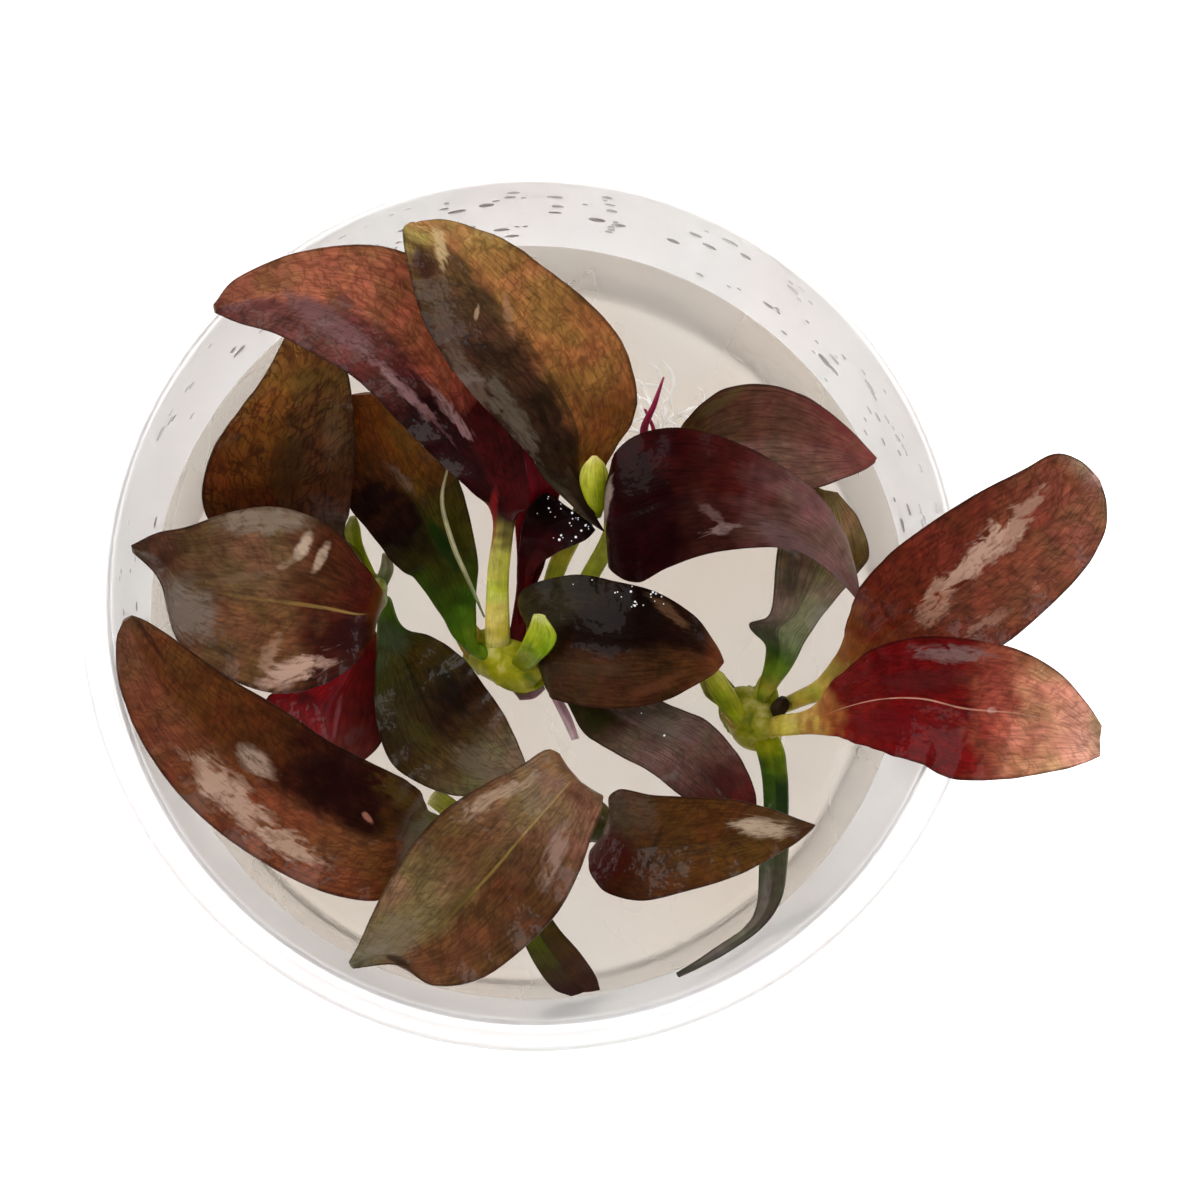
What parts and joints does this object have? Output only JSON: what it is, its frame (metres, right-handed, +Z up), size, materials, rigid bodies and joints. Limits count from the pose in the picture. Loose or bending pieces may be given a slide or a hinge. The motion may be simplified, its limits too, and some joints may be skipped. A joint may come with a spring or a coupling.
{
  "type": "echinodorus plant in a growing cup",
  "caption": "Red-leaved water plants rooted in clear growing gel in an open milky plastic cup, with two leaves reaching out over the rim.",
  "frame": {"origin": "centre of the cup's underside, on the surface it stands on", "axes": "+Z up along the cup's axis; +X towards the side where two leaves reach out over the rim; +Y towards the back, the top of the picture"},
  "size_m": [0.1124, 0.1, 0.0609],
  "materials": {
    "cup_plastic": "milky translucent",
    "growing_gel": "clear, wet",
    "crown_green": "fresh plant tissue",
    "copper_leaf": "glossy leaf",
    "wine_leaf": "glossy leaf",
    "crimson_leaf": "glossy leaf",
    "olive_leaf_skin": "glossy leaf",
    "brown_leaf": "glossy leaf"
  },
  "bodies": {
    "root": {"cup": "cup_plastic", "gel": "growing_gel", "crown_middle": "crown_green", "crown_right": "crown_green", "crown_left": "crown_green", "crown_back": "crown_green", "crown_front": "crown_green", "crown_front_left": "crown_green", "bud": "crown_green", "old_stalk": "crown_green", "upper_left_leaf": "copper_leaf", "outer_upper_leaf": "copper_leaf", "outer_lower_leaf": "copper_leaf", "centre_right_leaf": "wine_leaf", "short_dark_leaf": "wine_leaf", "young_crimson_leaf": "crimson_leaf", "inner_left_leaf": "olive_leaf_skin", "olive_leaf": "olive_leaf_skin", "centre_leaf": "olive_leaf_skin", "right_upright_leaf": "olive_leaf_skin", "narrow_trailing_leaf": "olive_leaf_skin", "small_front_leaf": "olive_leaf_skin", "top_leaf": "brown_leaf", "left_upright_leaf": "brown_leaf", "left_broad_leaf": "brown_leaf", "lower_left_leaf": "brown_leaf", "front_leaf": "brown_leaf", "lower_centre_leaf": "brown_leaf", "upper_right_leaf": "brown_leaf", "front_right_leaf": "brown_leaf"}
  },
  "joints": []
}
